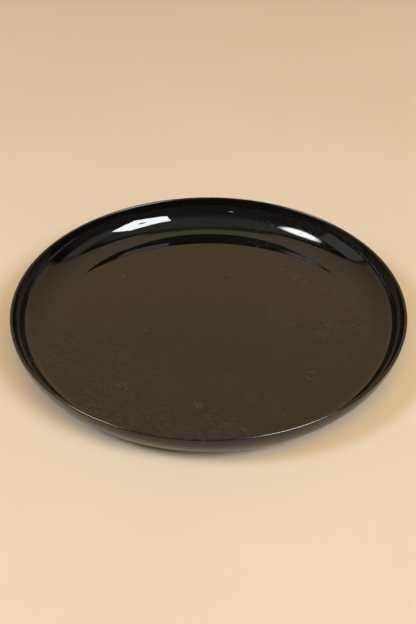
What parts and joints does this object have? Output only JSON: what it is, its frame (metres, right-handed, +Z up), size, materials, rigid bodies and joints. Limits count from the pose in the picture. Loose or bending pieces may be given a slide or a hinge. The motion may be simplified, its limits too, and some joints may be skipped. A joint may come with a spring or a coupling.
{
  "type": "serving tray",
  "caption": "Round, flat-floored serving tray with a quarter-round wall and a full-round lip, on rubber feet pressed into collars under the floor.",
  "frame": {"origin": "on the tray's axis, in the plane that the four feet stand on", "axes": "+Z up along the tray's axis, out of the open side; +X and +Y midway between neighbouring feet, which stand at 45, 135, 225 and 315 degrees"},
  "size_m": [0.4, 0.4, 0.0382],
  "materials": {
    "gloss_black_plastic": "mirror gloss, moulded in one colour, finely scratched by use on the floor",
    "foot_rubber": "matt moulded rubber"
  },
  "bodies": {
    "root": {"tray_shell": "gloss_black_plastic", "foot_1": "foot_rubber", "foot_2": "foot_rubber", "foot_3": "foot_rubber", "foot_4": "foot_rubber"}
  },
  "joints": []
}
